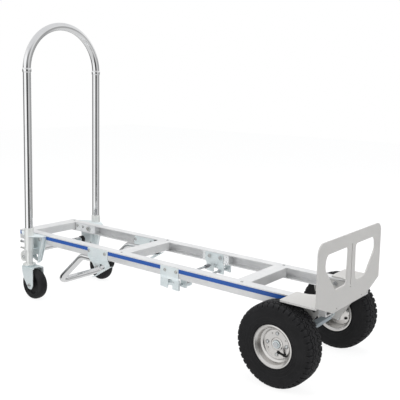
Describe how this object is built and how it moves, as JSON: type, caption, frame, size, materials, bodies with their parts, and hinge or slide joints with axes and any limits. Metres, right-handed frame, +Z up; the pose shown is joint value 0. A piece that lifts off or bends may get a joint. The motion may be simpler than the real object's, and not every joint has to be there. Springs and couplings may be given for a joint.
{
  "type": "convertible hand truck",
  "caption": "Convertible hand truck with a rail deck, nose plate, pneumatic wheels, swivel casters and a loop handle that slides and folds for upright use.",
  "frame": {"origin": "centre of the footprint, on the floor, with the truck on all its wheels", "axes": "+X along the rails from the push handle to the nose plate, +Y to the left across the rails, +Z up"},
  "size_m": [1.464, 0.4874, 1.1454],
  "materials": {
    "rail_aluminium": "extruded, satin anodised",
    "stripe_blue": "satin blue inlay strip",
    "nose_grey": "matte light warm grey coat over aluminium plate",
    "bracket_grey": "matte light warm grey coat over steel",
    "chrome_tube": "bright plated tube",
    "zinc_steel": "pale zinc plated sheet",
    "sleeve_zinc": "pale zinc plated turned tube",
    "fastener_steel": "zinc plated fasteners",
    "axle_steel": "bright steel bar",
    "rim_steel": "bright pressed steel",
    "insert_white": "off-white moulded block",
    "black_plastic": "black moulded",
    "tyre_rubber": "black rubber",
    "caster_rubber": "black rubber",
    "spring_steel": "spring wire"
  },
  "bodies": {
    "frame": {"rail_right": "rail_aluminium", "rail_left": "rail_aluminium", "rail_stripes": "stripe_blue", "crossbar_rear": "rail_aluminium", "crossbar_middle": "rail_aluminium", "crossbar_front": "rail_aluminium", "nose_plate": "nose_grey", "rail_inserts": "insert_white", "pivot_brackets": "zinc_steel", "pivot_cross_tube": "chrome_tube", "cross_tube_rings": "black_plastic", "pivot_bolts": "fastener_steel", "pivot_thrust_washers": "black_plastic", "rear_handle": "chrome_tube", "rear_handle_end_caps": "black_plastic", "rear_handle_brackets": "zinc_steel", "frame_rivets": "fastener_steel", "latch_brackets": "zinc_steel", "latch_tie_rod": "axle_steel", "bracket_screws": "fastener_steel", "axle_brackets": "bracket_grey", "axle_clamp_plates": "bracket_grey", "nose_braces": "zinc_steel", "main_axle": "axle_steel", "axle_spacers": "zinc_steel"},
    "handle_carrier": {"handle_sleeves": "sleeve_zinc", "fold_carriers": "zinc_steel", "carrier_screws": "fastener_steel"},
    "handle": {"push_handle": "chrome_tube", "caster_sockets": "sleeve_zinc", "latch_studs": "fastener_steel", "kingpins": "fastener_steel"},
    "latch": {"latch_rod": "axle_steel", "latch_hooks": "zinc_steel", "latch_pedal": "zinc_steel", "latch_spring": "spring_steel"},
    "lock_plunger_right": {"lock_plunger_right": "fastener_steel"},
    "caster_right": {"caster_fork_right": "zinc_steel", "caster_axle_right": "fastener_steel"},
    "caster_wheel_right": {"caster_tyre_right": "caster_rubber", "caster_wheel_right": "black_plastic"},
    "main_wheel_right": {"tyre_right": "tyre_rubber", "rim_right": "rim_steel", "hub_right": "rim_steel", "rim_bolts_right": "fastener_steel", "valve_right": "black_plastic", "hub_bearings_right": "axle_steel"},
    "lock_plunger_left": {"lock_plunger_left": "fastener_steel"},
    "caster_left": {"caster_fork_left": "zinc_steel", "caster_axle_left": "fastener_steel"},
    "caster_wheel_left": {"caster_tyre_left": "caster_rubber", "caster_wheel_left": "black_plastic"},
    "main_wheel_left": {"tyre_left": "tyre_rubber", "rim_left": "rim_steel", "hub_left": "rim_steel", "rim_bolts_left": "fastener_steel", "valve_left": "black_plastic", "hub_bearings_left": "axle_steel"}
  },
  "joints": [
    {"name": "handle_fold", "type": "hinge", "parent": "frame", "child": "handle_carrier", "pos_m": [-0.587, 0, 0.247], "axis": [0, -1, 0], "range_deg": [0, 90]},
    {"name": "handle_slide", "type": "slide", "parent": "handle_carrier", "child": "handle", "axis": [0, 0, -1], "range_m": [0, 0.638]},
    {"name": "latch_turn", "type": "hinge", "parent": "frame", "child": "latch", "pos_m": [0.106, 0, 0.212], "axis": [0, 1, 0], "range_deg": [0, 35], "stiffness_Nm_per_rad": 0.4},
    {"name": "plunger_pull_right", "type": "slide", "parent": "handle_carrier", "child": "lock_plunger_right", "axis": [-1, 0, 0], "range_m": [0, 0.008]},
    {"name": "caster_swivel_right", "type": "hinge", "parent": "handle", "child": "caster_right", "pos_m": [-0.62, -0.1865, 0.13], "axis": [0, 0, 1], "continuous": true},
    {"name": "caster_roll_right", "type": "hinge", "parent": "caster_right", "child": "caster_wheel_right", "pos_m": [-0.584, -0.1865, 0.0625], "axis": [0, 1, 0], "continuous": true},
    {"name": "wheel_roll_right", "type": "hinge", "parent": "frame", "child": "main_wheel_right", "pos_m": [0.602, -0.199, 0.13], "axis": [0, 1, 0], "continuous": true},
    {"name": "plunger_pull_left", "type": "slide", "parent": "handle_carrier", "child": "lock_plunger_left", "axis": [-1, 0, 0], "range_m": [0, 0.008]},
    {"name": "caster_swivel_left", "type": "hinge", "parent": "handle", "child": "caster_left", "pos_m": [-0.62, 0.1865, 0.13], "axis": [0, 0, 1], "continuous": true},
    {"name": "caster_roll_left", "type": "hinge", "parent": "caster_left", "child": "caster_wheel_left", "pos_m": [-0.584, 0.1865, 0.0625], "axis": [0, 1, 0], "continuous": true},
    {"name": "wheel_roll_left", "type": "hinge", "parent": "frame", "child": "main_wheel_left", "pos_m": [0.602, 0.199, 0.13], "axis": [0, 1, 0], "continuous": true}
  ]
}
